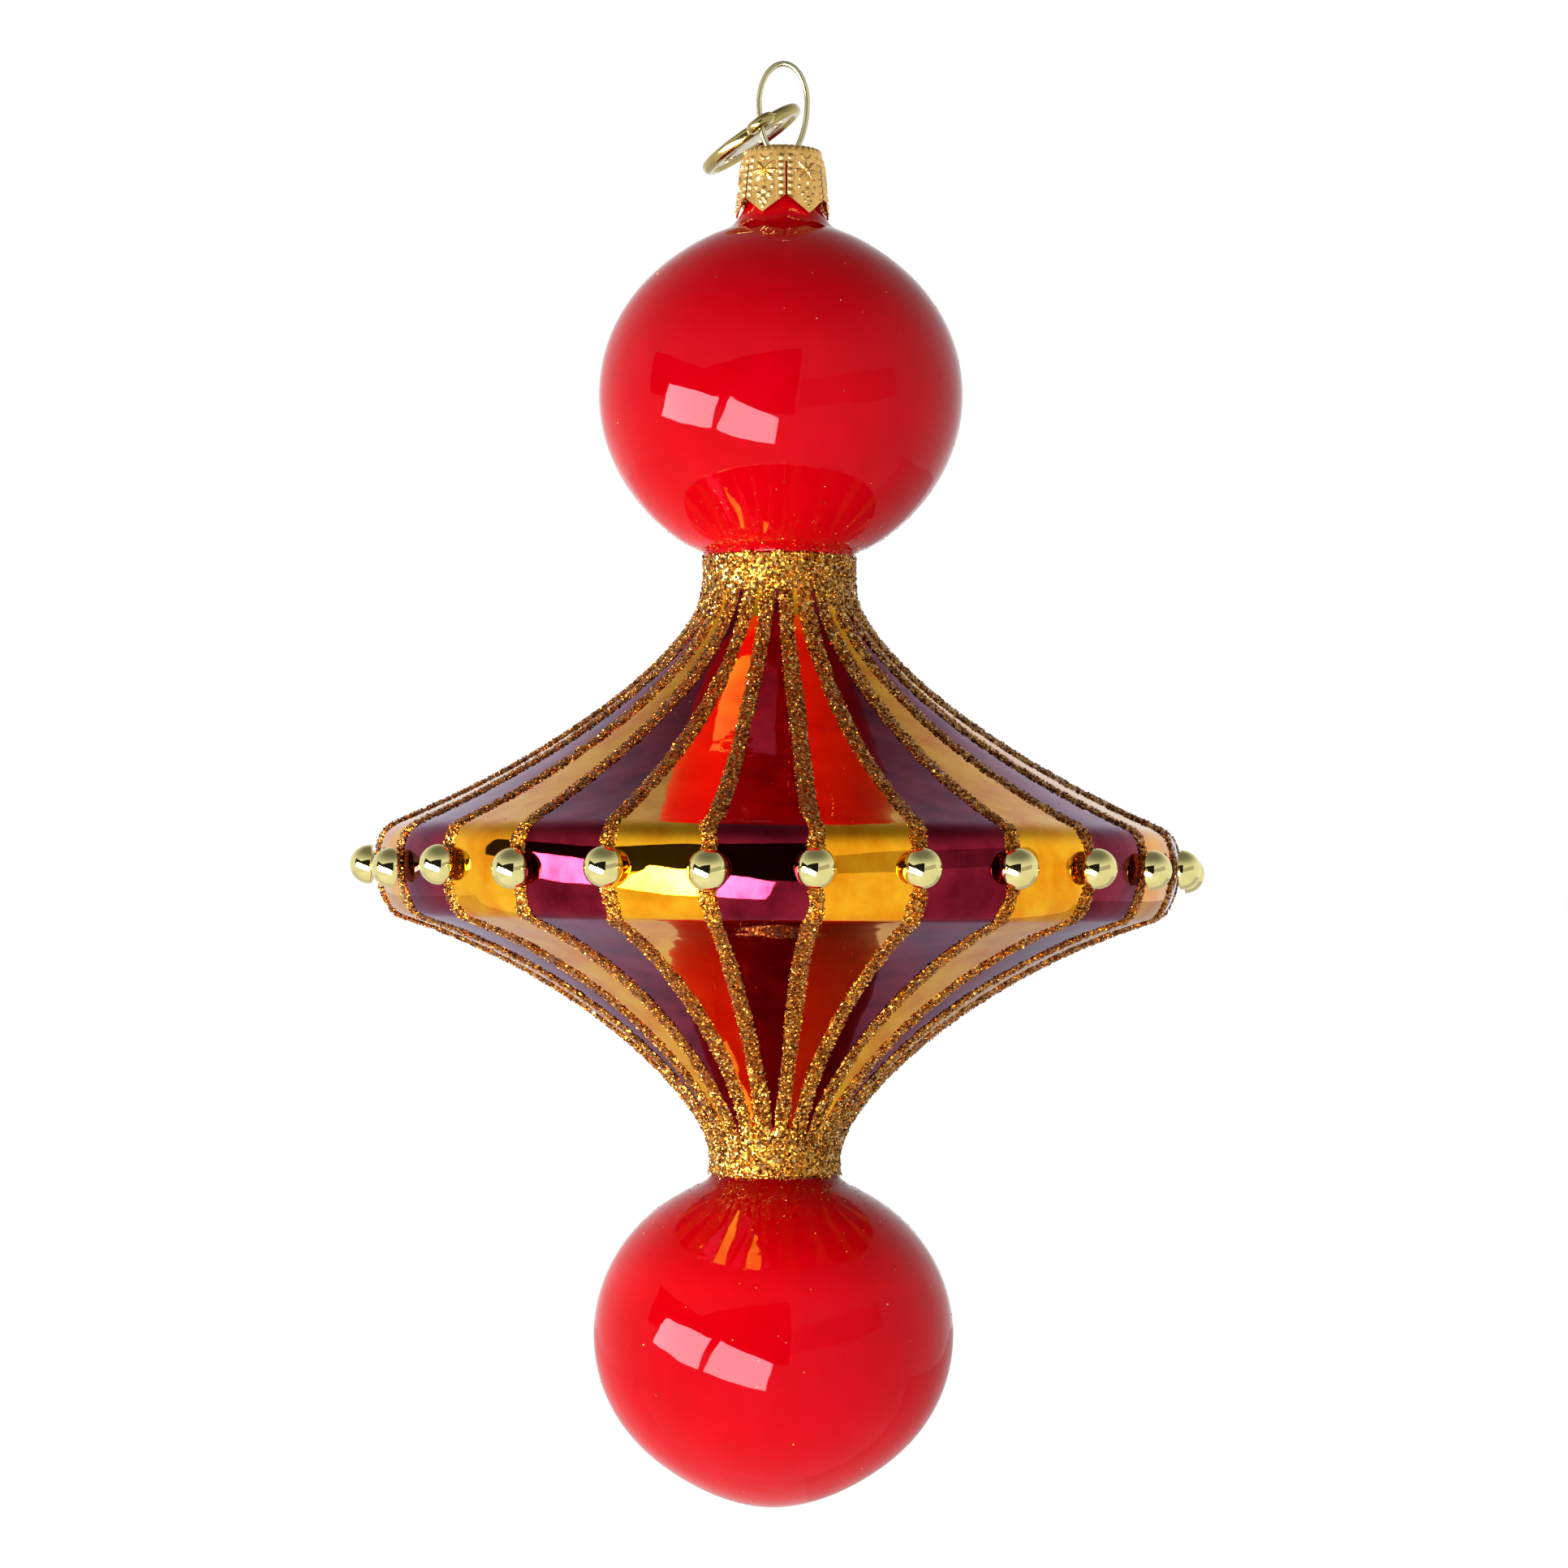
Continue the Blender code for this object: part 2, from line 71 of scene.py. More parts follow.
class Signal:
    # a socket that can be used in Python expressions

    def __init__(self, finish, socket):
        self.finish = finish
        self.socket = socket

    def __add__(self, other):
        return self.finish.maths("ADD", self, other)

    def __radd__(self, other):
        return self.finish.maths("ADD", other, self)

    def __sub__(self, other):
        return self.finish.maths("SUBTRACT", self, other)

    def __rsub__(self, other):
        return self.finish.maths("SUBTRACT", other, self)

    def __mul__(self, other):
        return self.finish.maths("MULTIPLY", self, other)

    def __rmul__(self, other):
        return self.finish.maths("MULTIPLY", other, self)

    def __truediv__(self, other):
        return self.finish.maths("DIVIDE", self, other)

    def __rtruediv__(self, other):
        return self.finish.maths("DIVIDE", other, self)

    def __gt__(self, other):
        return self.finish.maths("GREATER_THAN", self, other)

    def __lt__(self, other):
        return self.finish.maths("LESS_THAN", self, other)


class Finish:
    # one Principled material, with its constants on the shader's own sockets

    def __init__(self, name, **constants):
        self.material = bpy.data.materials.new(name)
        self.material.use_nodes = True
        self.nodes = self.material.node_tree.nodes
        self.links = self.material.node_tree.links
        self.shader = self.nodes["Principled BSDF"]
        for socket, value in constants.items():
            self.shader.inputs[socket.replace("_", " ")].default_value = value

    def node(self, kind, settings=None, sockets=None, output=0):
        made = self.nodes.new(kind)
        for name, value in (settings or {}).items():
            if name == "stops":
                self.setStops(made.color_ramp, value)
            else:
                setattr(made, name, value)
        for name, value in (sockets or {}).items():
            if isinstance(value, Signal):
                self.links.new(value.socket, made.inputs[name])
            else:
                made.inputs[name].default_value = value
        return Signal(self, made.outputs[output])

    def maths(self, operation, *values):
        return self.node("ShaderNodeMath", {"operation": operation}, dict(enumerate(values)))

    def setStops(self, ramp, stops):
        while len(ramp.elements) < len(stops):
            ramp.elements.new(0.5)
        for element, (place, colour) in zip(ramp.elements, stops):
            element.position = place
            element.color = colour

    def place(self):
        return self.node("ShaderNodeTexCoord", output="Object")

    def noise(self, place, scale, detail, roughness):
        return self.node("ShaderNodeTexNoise", {}, {
            "Vector": place, "Scale": scale, "Detail": detail, "Roughness": roughness,
        })

    def blend(self, factor, one, two, how="MIX"):
        settings = {"data_type": "RGBA", "blend_type": how, "clamp_factor": True}
        return self.node("ShaderNodeMix", settings, {0: factor, 6: one, 7: two}, 2)

    def ramp(self, factor, stops):
        return self.node("ShaderNodeValToRGB", {"stops": stops}, {0: factor})

    def between(self, value, low, high, newLow, newHigh):
        return self.node("ShaderNodeMapRange", {"clamp": True}, {
            0: value, 1: low, 2: high, 3: newLow, 4: newHigh,
        })

    def bump(self, height, strength, distance, normal=None):
        sockets = {"Height": height, "Strength": strength, "Distance": distance}
        if normal is not None:
            sockets["Normal"] = normal
        return self.node("ShaderNodeBump", {}, sockets)

    def feed(self, **signals):
        for socket, signal in signals.items():
            self.links.new(signal.socket, self.shader.inputs[socket.replace("_", " ")])
        return self.material


glass = {
    "neck": 0.0044,
    "neckLength": 0.00705,
    "upperBall": 0.02265,
    "lowerBall": 0.0224,
    "upperWaist": (0.0091, 0.0358),
    "lowerWaist": (0.0077, -0.0360),
    "upperBallStep": 0.00585,
    "lowerBallStep": 0.00535,
    "neckStep": 0.0057,
    "upperBallEnds": (0.768, -0.757),
    "lowerBallEnds": (0.732, -0.757, -0.9665),
    "wall": 0.0008,
    "panelTop": 0.0365,
    "panelFoot": -0.0356,
    # heights of the painted shade on the lower ball's top, under the cone
    "paintedShadeHeights": (-0.0505, -0.0385),
    "pointsPerKnot": 16,
    "turns": 200,
}
rimRadius = 0.5 * (glassHigh.x - glassLow.x)
# heights on the two balls, from their middles
upperShoulder, upperFoot = (share * glass["upperBall"] for share in glass["upperBallEnds"])
lowerShoulder, lowerFoot, lowerTip = (share * glass["lowerBall"] for share in glass["lowerBallEnds"])
upperBallHeight = glass["upperWaist"][1] + glass["upperBallStep"] - upperFoot
lowerBallHeight = glass["lowerWaist"][1] - glass["lowerBallStep"] - lowerShoulder
neckFoot = upperBallHeight + upperShoulder + glass["neckStep"]
neckTop = neckFoot + glass["neckLength"]
ringHeight = glassHigh.z - neckTop


def glassKnots():
    # radius, height, heading in degrees, handle lengths before and after
    big, small, neck = glass["upperBall"], glass["lowerBall"], glass["neck"]
    high, low = upperBallHeight, lowerBallHeight
    return [
        (neck, neckTop, -90.0, 0.0, 0.55 * glass["neckLength"]),
        (neck + 0.0005, neckFoot, -62.0, 0.0018, 0.0040),
        (0.578 * big, high + upperShoulder, -35.0, 0.0068, 0.260 * big),
        (big, high, -90.0, 0.368 * big, 0.308 * big),
        (0.600 * big, high + upperFoot, -143.1, 0.287 * big, 0.0059),
        (*glass["upperWaist"], -90.0, 0.0055, 0.0085),
        (rimRadius - 0.0037, 0.0059, -23.5, 0.0205, 0.0028),
        (rimRadius, 0.0005, -90.0, 0.0039, 0.0022),
        (rimRadius - 0.0028, -0.0060, -162.7, 0.0020, 0.0242),
        (*glass["lowerWaist"], -90.0, 0.0065, 0.0037),
        (0.585 * small, low + lowerShoulder, -32.6, 0.0054, 0.356 * small),
        (small, low, -90.0, 0.235 * small, 0.257 * small),
        (0.580 * small, low + lowerFoot, -145.5, 0.387 * small, 0.276 * small),
        (0.0, low + lowerTip, -180.0, 0.147 * small, 0.0),
    ]


def deselect():
    if bpy.context.object and bpy.context.object.mode != "OBJECT":
        bpy.ops.object.mode_set(mode="OBJECT")
    bpy.ops.object.select_all(action="DESELECT")


def named(name, material=None):
    # the object that was just added or joined
    thing = bpy.context.object
    thing.name = thing.data.name = name
    if material:
        thing.data.materials.clear()
        thing.data.materials.append(material)
    return thing


def choose(thing):
    deselect()
    thing.select_set(True)
    bpy.context.view_layer.objects.active = thing


def pick(thing, wanted):
    # selects faces in edit mode by a test on each
    bpy.ops.object.mode_set(mode="EDIT")
    bpy.ops.mesh.select_mode(type="FACE")
    bpy.ops.mesh.select_all(action="DESELECT")
    bpy.ops.object.mode_set(mode="OBJECT")
    for face in thing.data.polygons:
        face.select = bool(wanted(face))
    bpy.ops.object.mode_set(mode="EDIT")


def applyModifiers(thing):
    choose(thing)
    for step in list(thing.modifiers):
        bpy.ops.object.modifier_apply(modifier=step.name)


def applyPlace(thing):
    choose(thing)
    bpy.ops.object.transform_apply(location=True, rotation=True, scale=True)


def mend(thing, outside=True):
    choose(thing)
    bpy.ops.object.mode_set(mode="EDIT")
    bpy.ops.mesh.select_all(action="SELECT")
    bpy.ops.mesh.remove_doubles(threshold=0.000002)
    if outside:
        bpy.ops.mesh.normals_make_consistent(inside=False)
    bpy.ops.object.mode_set(mode="OBJECT")


def join(pieces, name):
    deselect()
    for piece in pieces:
        piece.select_set(True)
    bpy.context.view_layer.objects.active = pieces[0]
    bpy.ops.object.join()
    return named(name)


def soften(thing, angle):
    choose(thing)
    bpy.ops.object.shade_smooth_by_angle(angle=math.radians(angle))


def finishPiece(thing, body, nodes=()):
    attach(thing, body)
    if nodes:
        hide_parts(*nodes)
    return thing


def glassMaterial():
    colours = {
        "red": (0.76, 0.0, 0.007, 1.0),
        "redDeep": (0.67, 0.0, 0.003, 1.0),
        # dark red for the painted shade on the lower ball's top, under the cone
        "redPaintedShade": (0.20, 0.0, 0.001, 1.0),
        "amber": (0.96, 0.48, 0.018, 1.0),
        "amberDeep": (0.80, 0.25, 0.003, 1.0),
        "plum": (0.250, 0.012, 0.028, 1.0),
        "plumDeep": (0.110, 0.003, 0.011, 1.0),
    }
    upperEdge = ringHeight + glass["panelTop"]
    lowerEdge = ringHeight + glass["panelFoot"]
    # where the painted shade under the cone ends and starts
    shadeEnd, shadeStart = (ringHeight + height for height in glass["paintedShadeHeights"])
    finish = Finish("tintedMirrorGlass", IOR=1.19, Specular_Tint=(0.80, 0.85, 1.0, 1.0))
    place = finish.place()
    parts = finish.node("ShaderNodeSeparateXYZ", {}, {0: place})
    x, y, z = (Signal(finish, parts.socket.node.outputs[i]) for i in range(3))

    # panels between neighbouring lines, taken in turn
    turn = finish.maths("ARCTAN2", x, 0.0 - y)
    number = finish.maths("FLOOR", (turn + (math.tau - firstLine)) / panelPitch)
    odd = finish.maths("MODULO", number, 2.0)
    cone = (z < upperEdge) * (z > lowerEdge)

    # brushed lacquer is thicker in some places than in others
    cloud = finish.between(finish.noise(place, 190.0, 4.0, 0.55), 0.40, 0.62, 0.0, 1.0)
    streakPlace = finish.node("ShaderNodeMapping", {}, {0: place, 3: (1.0, 1.0, 0.12)})
    streak = finish.between(finish.noise(streakPlace, 420.0, 3.0, 0.6), 0.35, 0.7, 0.0, 1.0)
    thick = cloud * 0.65 + streak * 0.35
    amber = finish.blend(thick, colours["amber"], colours["amberDeep"])
    plum = finish.blend(thick, colours["plum"], colours["plumDeep"])
    red = finish.blend(thick * 0.7, colours["red"], colours["redDeep"])
    # painted shade: the red darkens on the lower ball's top, below the lower collar, where the cone above
    # shades it
    shoulder = finish.between(z, shadeEnd, shadeStart, 0.0, 0.95)
    red = finish.blend(shoulder * (z < lowerEdge), red, colours["redPaintedShade"])
    tint = finish.blend(cone, red, finish.blend(odd, amber, plum))

    fine = finish.noise(place, 900.0, 2.0, 0.6)
    roughness = finish.between(fine, 0.3, 0.75, 0.018, 0.045)
    wave = finish.noise(place, 130.0, 2.0, 0.45)
    orangePeel = finish.noise(place, 1500.0, 1.0, 0.4)
    normal = finish.bump(wave, 0.3, 0.0004)
    normal = finish.bump(orangePeel, 0.05, 0.00003, normal)
    return finish.feed(Base_Color=tint, Metallic=cone * 0.985, Roughness=roughness, Normal=normal)


def drawOutline():
    # the outline as a free Bezier curve, turned into a string of points
    bpy.ops.curve.primitive_bezier_curve_add(location=(0.0, 0.0, 0.0))
    curve = bpy.context.object
    knots = glassKnots()
    spline = curve.data.splines[0]
    spline.bezier_points.add(len(knots) - 2)
    curve.data.resolution_u = glass["pointsPerKnot"]
    for point, (radius, height, heading, before, after) in zip(spline.bezier_points, knots):
        along = Vector((math.cos(math.radians(heading)), 0.0, math.sin(math.radians(heading))))
        point.handle_left_type = point.handle_right_type = "FREE"
        point.co = Vector((radius, 0.0, ringHeight + height))
        point.handle_left = point.co - along * before
        point.handle_right = point.co + along * after
    bpy.ops.object.convert(target="MESH")
    return named("outline")


class Outline:
    # places on the glass: a fractional index along the outline, an azimuth and a height above the surface

    def __init__(self, points):
        self.points = np.array([(p.x, p.z) for p in points])
        ahead = np.gradient(self.points, axis=0)
        ahead /= np.linalg.norm(ahead, axis=1)[:, None]
        self.normals = np.stack([-ahead[:, 1], ahead[:, 0]], axis=1)
        steps = np.linalg.norm(np.diff(self.points, axis=0), axis=1)
        self.lengths = np.concatenate([[0.0], np.cumsum(steps)])
        self.index = np.arange(len(self.points))

    def at(self, height):
        return int(np.argmin(np.abs(self.points[:, 1] - (ringHeight + height))))

    def read(self, table, index):
        return np.stack([np.interp(index, self.index, table[:, k]) for k in range(2)], axis=1)

    def place(self, index, azimuth, lift):
        # positions and outward normals for arrays of places
        radial = np.stack([np.sin(azimuth), -np.cos(azimuth), np.zeros_like(azimuth)], axis=1)
        upward = np.array([0.0, 0.0, 1.0])
        point, normal = self.read(self.points, index), self.read(self.normals, index)
        normal /= np.linalg.norm(normal, axis=1)[:, None]
        outward = radial * normal[:, :1] + upward * normal[:, 1:]
        centre = radial * point[:, :1] + upward * point[:, 1:]
        return centre + outward * lift[:, None], outward

    def spread(self, first, last, count, rng):
        # random indices, evenly by length
        length = rng.uniform(self.lengths[first], self.lengths[last], count)
        return np.interp(length, self.lengths, self.index)


def makeGlass(outlineMesh):
    choose(outlineMesh)
    bpy.ops.object.duplicate()
    thing = named("lacquered_glass_drop", glassMaterial())
    bpy.ops.object.mode_set(mode="EDIT")
    bpy.ops.mesh.select_all(action="SELECT")
    bpy.ops.mesh.spin(steps=glass["turns"], angle=math.tau, center=(0.0, 0.0, 0.0), axis=(0.0, 0.0, 1.0))
    bpy.ops.object.mode_set(mode="OBJECT")
    mend(thing)
    wall = thing.modifiers.new("wall", "SOLIDIFY")
    wall.thickness = glass["wall"]
    wall.offset = -1.0
    applyModifiers(thing)
    soften(thing, 50.0)
    print("glass:", len(thing.data.polygons), "faces")
    return finishPiece(thing, "glass", ["glass_body"])


glitter = {
    "width": 0.0019,
    "sideGap": 0.0001,
    "wobble": 0.0005,
    "height": 0.00030,
    "flake": 0.000155,
    "flakeThickness": 0.00003,
    "flakesPerLine": 1900,
    "flakesPerCollar": 3400,
    "strayFlakes": 420,
    "tilt": 0.62,
    "strayTilt": 0.25,
    "dustHeights": ((0.0392, 0.0470), (-0.0381, -0.0450)),
    "dustSize": 0.62,
    "cellScale": 3400.0,
    "cellTilt": 1.1,
    "firstLineSeed": 100,
    "upperSeed": 41,
    "lowerSeed": 42,
    "dustSeed": 77,
    "lineEnds": (0.0337, -0.0333),
    "upperCollar": (0.0390, 0.0337),
    "lowerCollar": (-0.0333, -0.0379),
    "lineRows": 240,
    "lineColumns": 7,
    "collarRows": 24,
    "collarColumns": 300,
    "collarLift": 1.25,
    "sunk": 0.05,
    "crustHeights": (0.55, 1.0),
    "crustSunk": 0.08,
    "ragged": 0.10,
    "flakeSizes": (0.72, 1.18),
    "flakeTurn": 0.55,
    "overhang": 1.08,
    "lineFlakeHeights": (0.7, 1.15),
    "lineFlakeLift": 0.00004,
    "collarFlakeHeights": (1.0, 1.55),
    "collarMargin": 3,
    "strayLift": 0.00003,
    "crownPower": 3.0,
    "crownRound": 0.6,
    "thickeningHeights": (0.008, 0.034),
    "dusk": (0.62, 0.47, 0.35, 1.0),
    "blaze": (0.68, 0.66, 0.70, 1.0),
}


def glitterMaterial():
    tones = [
        (0.00, (0.10, 0.026, 0.003, 1.0)),
        (0.30, (0.36, 0.11, 0.010, 1.0)),
        (0.55, (0.70, 0.29, 0.030, 1.0)),
        (0.76, (0.86, 0.48, 0.070, 1.0)),
        (0.90, (0.92, 0.66, 0.18, 1.0)),
        (1.00, (0.95, 0.80, 0.38, 1.0)),
    ]
    finish = Finish("goldGlitter", Metallic=1.0)
    place = finish.place()
    cells = finish.node("ShaderNodeTexVoronoi", {"feature": "F1"}, {
        "Vector": place, "Scale": glitter["cellScale"],
    }, "Color")
    parts = finish.node("ShaderNodeSeparateColor", {}, {0: cells})
    # the thin lines are duskier than the thick collars
    height = Signal(finish, finish.node("ShaderNodeSeparateXYZ", {}, {0: place}).socket.node.outputs[2])
    away = finish.maths("ABSOLUTE", height - ringHeight)
    thick = finish.between(away, *glitter["thickeningHeights"], 0.0, 1.0)
    veil = finish.blend(thick, glitter["dusk"], glitter["blaze"])
    tone = finish.blend(1.0, finish.ramp(parts, tones), veil, "MULTIPLY")
    # each flake in the crust lies at its own angle
    centred = finish.node("ShaderNodeVectorMath", {"operation": "SUBTRACT"}, {
        0: cells, 1: (0.5, 0.5, 0.5),
    })
    scaled = finish.node("ShaderNodeVectorMath", {"operation": "SCALE"}, {
        0: centred, "Scale": glitter["cellTilt"],
    })
    facing = finish.node("ShaderNodeNewGeometry", output="Normal")
    tilted = finish.node("ShaderNodeVectorMath", {"operation": "ADD"}, {0: facing, 1: scaled})
    normal = finish.node("ShaderNodeVectorMath", {"operation": "NORMALIZE"}, {0: tilted})
    green = Signal(finish, parts.socket.node.outputs[1])
    roughness = finish.between(green, 0.0, 1.0, 0.16, 0.40)
    return finish.feed(Base_Color=tone, Roughness=roughness, Normal=normal)


def modelFlake():
    # a thin hexagonal plate of unit radius
    bpy.ops.mesh.primitive_cylinder_add(vertices=6, radius=1.0, depth=1.0, location=(0.0, 0.0, 0.0))
    flake = named("flake")
    pick(flake, lambda face: face.normal.z > 0.9)
    bpy.ops.transform.resize(value=(0.92, 0.92, 1.0))
    bpy.ops.object.mode_set(mode="OBJECT")
    corners = np.array([v.co for v in flake.data.vertices])
    faces = [list(face.vertices) for face in flake.data.polygons]
    bpy.data.objects.remove(flake, do_unlink=True)
    return corners, faces


def scatter(name, centres, outward, rng, flake, material, size=1.0, tilt=glitter["tilt"]):
    # copies of the flake at these places, each turned and tilted at random, as one mesh
    corners, faces = flake
    count = len(centres)
    away = outward + rng.normal(0.0, tilt, (count, 3)) * glitter["flakeTurn"]
    away /= np.linalg.norm(away, axis=1)[:, None]
    side = np.cross(away, rng.normal(0.0, 1.0, (count, 3)))
    side /= np.linalg.norm(side, axis=1)[:, None]
    other = np.cross(away, side)
    radius = glitter["flake"] * size * rng.uniform(*glitter["flakeSizes"], count)
    shape = (
        side[:, None] * (corners[None, :, :1] * radius[:, None, None])
        + other[:, None] * (corners[None, :, 1:2] * radius[:, None, None])
        + away[:, None] * corners[None, :, 2:] * glitter["flakeThickness"]
    )
    points = (centres[:, None] + shape).reshape(-1, 3)
    stride = len(corners)
    polygons = [[v + k * stride for v in face] for k in range(count) for face in faces]
    mesh = bpy.data.meshes.new(name)
    mesh.from_pydata(points.tolist(), [], polygons)
    mesh.materials.append(material)
    thing = bpy.data.objects.new(name, mesh)
    bpy.context.scene.collection.objects.link(thing)
    return thing


def crownOf(across):
    # height of a strip's rounded section, from its middle to its edges
    return np.clip(1.0 - np.abs(across) ** glitter["crownPower"], 0.0, 1.0) ** glitter["crownRound"]


def crust(name, outline, first, last, rows, columns, azimuthAt, halfAngleAt, material, seed):
    # a raised strip on the glass, from a grid whose corners are laid along the outline
    bpy.ops.mesh.primitive_grid_add(x_subdivisions=columns, y_subdivisions=rows, size=2.0)
    thing = named(name, material)
    mesh = thing.data
    corners = np.array([v.co for v in mesh.vertices])
    across, along = corners[:, 0], 0.5 - 0.5 * corners[:, 1]
    rng = np.random.default_rng(seed)
    index = first + along * (last - first)
    rise = crownOf(across) * rng.uniform(*glitter["crustHeights"], len(corners))
    lift = glitter["height"] * (rise - glitter["crustSunk"])
    uneven = rng.uniform(-glitter["ragged"], glitter["ragged"], len(corners))
    ragged = 1.0 + uneven * (np.abs(across) > 0.7)
    azimuth = azimuthAt(along, index) + across * ragged * halfAngleAt(index)
    points, _ = outline.place(index, azimuth, lift)
    mesh.vertices.foreach_set("co", points.ravel())
    mesh.update()
    return thing


def makeLine(number, outline, flake, material):
    # the same stray as the CAD line, from the same seed
    stray = random.Random(number)
    phase, waves = stray.uniform(0.0, math.tau), stray.uniform(2.5, 4.0)
    first, last = (outline.at(height) for height in glitter["lineEnds"])
    middle = firstLine + number * panelPitch

    def radiusAt(index):
        return np.interp(index, outline.index, outline.points[:, 0])

    def azimuthAt(along, index):
        steady = np.sin(math.pi * along) * np.abs(np.cos(math.pi * along))
        aside = glitter["wobble"] * steady * np.sin(phase + waves * math.tau * along)
        return middle + aside / radiusAt(index)

    def halfAngleAt(index):
        pitch = math.tau * radiusAt(index) / panelCount
        thickness = 1.0 + 0.10 * np.sin(0.31 * index + phase) + 0.06 * np.sin(0.83 * index + 2.0 * phase)
        half = 0.5 * np.minimum(glitter["width"] * thickness, pitch - glitter["sideGap"])
        return half / radiusAt(index)

    base = crust(
        "crust", outline, first, last, glitter["lineRows"], glitter["lineColumns"],
        azimuthAt, halfAngleAt, material, number)
    rng = np.random.default_rng(glitter["firstLineSeed"] + number)
    count = glitter["flakesPerLine"]
    index = outline.spread(first, last, count, rng)
    across = rng.uniform(-glitter["overhang"], glitter["overhang"], count)
    along = (index - first) / (last - first)
    azimuth = azimuthAt(along, index) + across * halfAngleAt(index)
    lift = glitter["height"] * crownOf(across) * rng.uniform(*glitter["lineFlakeHeights"], count)
    lift = lift + glitter["lineFlakeLift"]
    centres, outward = outline.place(index, azimuth, lift)
    flakes = scatter("flakes", centres, outward, rng, flake, material)
    thing = join([base, flakes], f"glitter_stripe_{number + 1:02d}")
    return finishPiece(thing, "glass", [lineNames[number]])


def makeCollar(name, node, heights, outline, flake, material, seed):
    first, last = (outline.at(height) for height in heights)
    rng = np.random.default_rng(seed)
    waves = [(rng.integers(3, 19), rng.uniform(0.0, math.tau), rng.uniform(0.3, 1.0)) for _ in range(5)]
    base = crust(
        "crust", outline, first, last, glitter["collarRows"], glitter["collarColumns"],
        lambda along, index: np.zeros_like(along), lambda index: np.full_like(index, math.pi),
        material, seed,
    )
    # the strip's ends meet, so it is lifted evenly round the glass
    mesh = base.data
    corners = np.array([v.co for v in mesh.vertices])
    turn = np.arctan2(corners[:, 0], -corners[:, 1])
    row = np.arange(len(corners)) // (glitter["collarColumns"] + 1)
    index = first + (1.0 - row / row.max()) * (last - first)
    edge = np.clip(np.minimum(row, row.max() - row) / glitter["collarMargin"], 0.0, 1.0)
    lift = glitter["height"] * (glitter["collarLift"] * edge - glitter["sunk"])
    points, _ = outline.place(index, turn, lift)
    mesh.vertices.foreach_set("co", points.ravel())
    mesh.update()
    mend(base, outside=False)
    count = glitter["flakesPerCollar"]
    index = outline.spread(first, last, count, rng)
    azimuth = rng.uniform(0.0, math.tau, count)
    stray = sum(size * np.sin(wave * azimuth + phase) for wave, phase, size in waves) * 0.35
    margin = glitter["collarMargin"]
    index = index + stray * ((index < first + margin) | (index > last - margin))
    lift = glitter["height"] * rng.uniform(*glitter["collarFlakeHeights"], count)
    centres, outward = outline.place(index, azimuth, lift)
    flakes = scatter("flakes", centres, outward, rng, flake, material)
    thing = join([base, flakes], name)
    return finishPiece(thing, "glass", [node])


def makeStrayFlakes(outline, flake, material):
    # single flakes that stuck to the lacquer while the lines were sprinkled
    rng = np.random.default_rng(glitter["dustSeed"])
    count = glitter["strayFlakes"]
    index = outline.spread(outline.at(neckFoot), len(outline.points) - 4, count, rng)
    # most of them lie close to the two collars
    for first, last in glitter["dustHeights"]:
        start, end = outline.at(first), outline.at(last)
        near = start + (end - start) * rng.uniform(0.0, 1.0, count) ** 2
        index = np.concatenate([index, near])
    count = len(index)
    azimuth = rng.uniform(0.0, math.tau, count)
    centres, outward = outline.place(index, azimuth, np.full(count, glitter["strayLift"]))
    thing = scatter(
        "stray_glitter_flakes", centres, outward, rng, flake, material,
        size=glitter["dustSize"], tilt=glitter["strayTilt"])
    return finishPiece(thing, "glass")


bead = {"radius": 0.0024, "height": 0.00245, "backEdge": 0.00012, "segments": 40, "rings": 24}


def brightMetal(name, colour, shade, roughness, scratch):
    # polished metal with faint cloudy tarnish, smears and hairline scratches
    finish = Finish(name, Metallic=1.0)
    place = finish.place()
    cloud = finish.between(finish.noise(place, 520.0, 3.0, 0.6), 0.4, 0.7, 0.0, 1.0)
    tone = finish.blend(cloud * 0.5, colour, shade)
    smear = finish.noise(place, 260.0, 4.0, 0.65)
    low, high = roughness
    rough = finish.between(smear, 0.35, 0.7, low, high)
    stretched = finish.node("ShaderNodeMapping", {}, {0: place, 2: (0.4, 0.9, 0.2), 3: (1.0, 9.0, 1.0)})
    hairline = finish.noise(stretched, 900.0, 3.0, 0.7)
    normal = finish.bump(hairline, scratch, 0.00001)
    return finish.feed(Base_Color=tone, Roughness=rough, Normal=normal)


